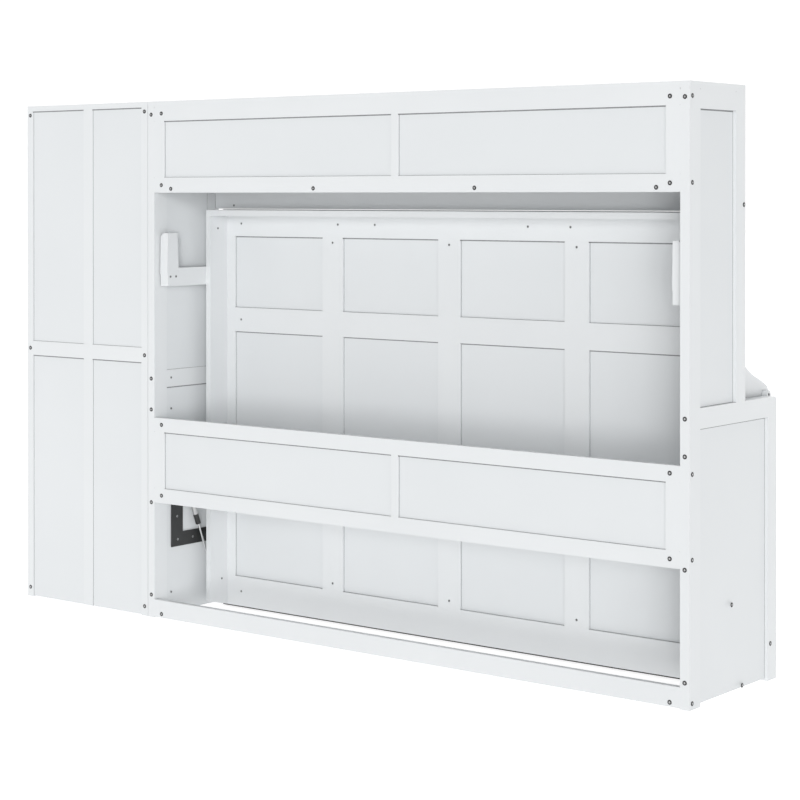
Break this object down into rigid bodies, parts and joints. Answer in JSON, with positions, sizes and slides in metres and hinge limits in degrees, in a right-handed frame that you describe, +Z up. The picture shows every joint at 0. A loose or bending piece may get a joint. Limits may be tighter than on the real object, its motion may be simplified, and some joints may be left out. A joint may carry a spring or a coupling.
{
  "type": "murphy wall bed",
  "caption": "Horizontal wall bed in a white framed cabinet: fold-down bed frame with gas struts, a shelf that stays level, and a tall open bookcase beside it.",
  "frame": {"origin": "on the floor, at the centre of the overall box", "axes": "+Z up, the front faces -Y, +X runs along the width towards the bookcase"},
  "size_m": [2.873, 0.5836, 1.85],
  "materials": {
    "white_paint": "satin white paint on wood",
    "white_panel": "smooth white-faced board",
    "black_steel": "black powder coat",
    "strut_black": "black painted tube",
    "strut_rod_steel": "polished steel rod",
    "zinc_steel": "zinc-plated steel"
  },
  "bodies": {
    "cabinet": {"left_rear_stile": "white_paint", "left_front_stile": "white_paint", "left_side_rails": "white_paint", "left_front_post": "white_paint", "left_upper_panel": "white_panel", "left_lower_panel": "white_panel", "left_pivot_plate": "black_steel", "right_rear_stile": "white_paint", "right_front_stile": "white_paint", "right_side_rails": "white_paint", "right_front_post": "white_paint", "right_upper_panel": "white_panel", "right_lower_panel": "white_panel", "right_pivot_plate": "black_steel", "top_board": "white_paint", "upper_back_rails": "white_paint", "upper_back_stiles": "white_paint", "upper_back_panels": "white_panel", "lower_back_rails": "white_paint", "lower_back_stiles": "white_paint", "lower_back_panels": "white_panel", "rear_stretcher": "white_paint", "header_rails": "white_paint", "header_stiles": "white_paint", "header_panels": "white_panel", "link_foot_pins": "zinc_steel", "bolt_heads": "zinc_steel", "bookcase_left_side": "white_paint", "bookcase_right_side": "white_paint", "bookcase_top": "white_paint", "bookcase_base": "white_paint", "bookcase_plinth": "white_paint", "bookcase_middle": "white_paint", "bookcase_shelves": "white_paint", "bookcase_back_strips": "white_paint", "bookcase_back_panels": "white_panel", "bookcase_back_rail": "white_paint"},
    "bed": {"bed_left_rail": "white_paint", "bed_right_rail": "white_paint", "bed_top_rail": "white_paint", "face_edge_stiles": "white_paint", "face_top_rail": "white_paint", "face_bottom_rail": "white_paint", "face_inner_stiles": "white_paint", "face_cross_rails": "white_paint", "face_panels": "white_panel", "left_end_arm": "white_paint", "right_end_arm": "white_paint", "strut_studs": "zinc_steel", "shelf_pivot_blocks": "zinc_steel"},
    "shelf": {"left_shelf_bracket": "white_paint", "right_shelf_bracket": "white_paint", "shelf_board": "white_paint", "link_head_pins": "zinc_steel"},
    "left_link": {"left_link": "white_paint"},
    "right_link": {"right_link": "white_paint"},
    "left_strut_tube": {"left_strut_tube": "strut_black"},
    "right_strut_tube": {"right_strut_tube": "strut_black"},
    "left_strut_rod": {"left_strut_rod": "strut_rod_steel"},
    "right_strut_rod": {"right_strut_rod": "strut_rod_steel"}
  },
  "joints": [
    {"name": "bed_fold", "type": "hinge", "parent": "cabinet", "child": "bed", "pos_m": [0, -0.00975, 0.272], "axis": [1, 0, 0], "range_deg": [0, 90], "stiffness_Nm_per_rad": 190},
    {"name": "shelf_level", "type": "hinge", "parent": "bed", "child": "shelf", "pos_m": [0, -0.06075, 1.044], "axis": [1, 0, 0], "range_deg": [-90.5, 0.5]},
    {"name": "left_link_turn", "type": "hinge", "parent": "cabinet", "child": "left_link", "pos_m": [-1.4, -0.20775, 0.114], "axis": [1, 0, 0], "range_deg": [-0.5, 90.5]},
    {"name": "right_link_turn", "type": "hinge", "parent": "cabinet", "child": "right_link", "pos_m": [0.76, -0.20775, 0.114], "axis": [1, 0, 0], "range_deg": [-0.5, 90.5]},
    {"name": "left_strut_turn", "type": "hinge", "parent": "cabinet", "child": "left_strut_tube", "pos_m": [-1.381, 0.19825, 0.6], "axis": [1, 0, 0], "range_deg": [-0.5, 18.22]},
    {"name": "left_strut_stroke", "type": "slide", "parent": "left_strut_tube", "child": "left_strut_rod", "axis": [0, 0.363, 0.9318], "range_m": [-0.001, 0.23314]},
    {"name": "right_strut_turn", "type": "hinge", "parent": "cabinet", "child": "right_strut_tube", "pos_m": [0.741, 0.19825, 0.6], "axis": [1, 0, 0], "range_deg": [-0.5, 18.22]},
    {"name": "right_strut_stroke", "type": "slide", "parent": "right_strut_tube", "child": "right_strut_rod", "axis": [0, 0.363, 0.9318], "range_m": [-0.001, 0.23314]}
  ],
  "couplings": [
    {"joint": "shelf_level", "follows": "bed_fold", "ratio": -1},
    {"joint": "left_link_turn", "follows": "bed_fold", "ratio": 1},
    {"joint": "right_link_turn", "follows": "bed_fold", "ratio": 1},
    {"joint": "left_strut_turn", "follows": "bed_fold", "ratio": 0.19686},
    {"joint": "left_strut_stroke", "follows": "bed_fold", "m_per_rad": 0.14779},
    {"joint": "right_strut_turn", "follows": "bed_fold", "ratio": 0.19686},
    {"joint": "right_strut_stroke", "follows": "bed_fold", "m_per_rad": 0.14779}
  ]
}
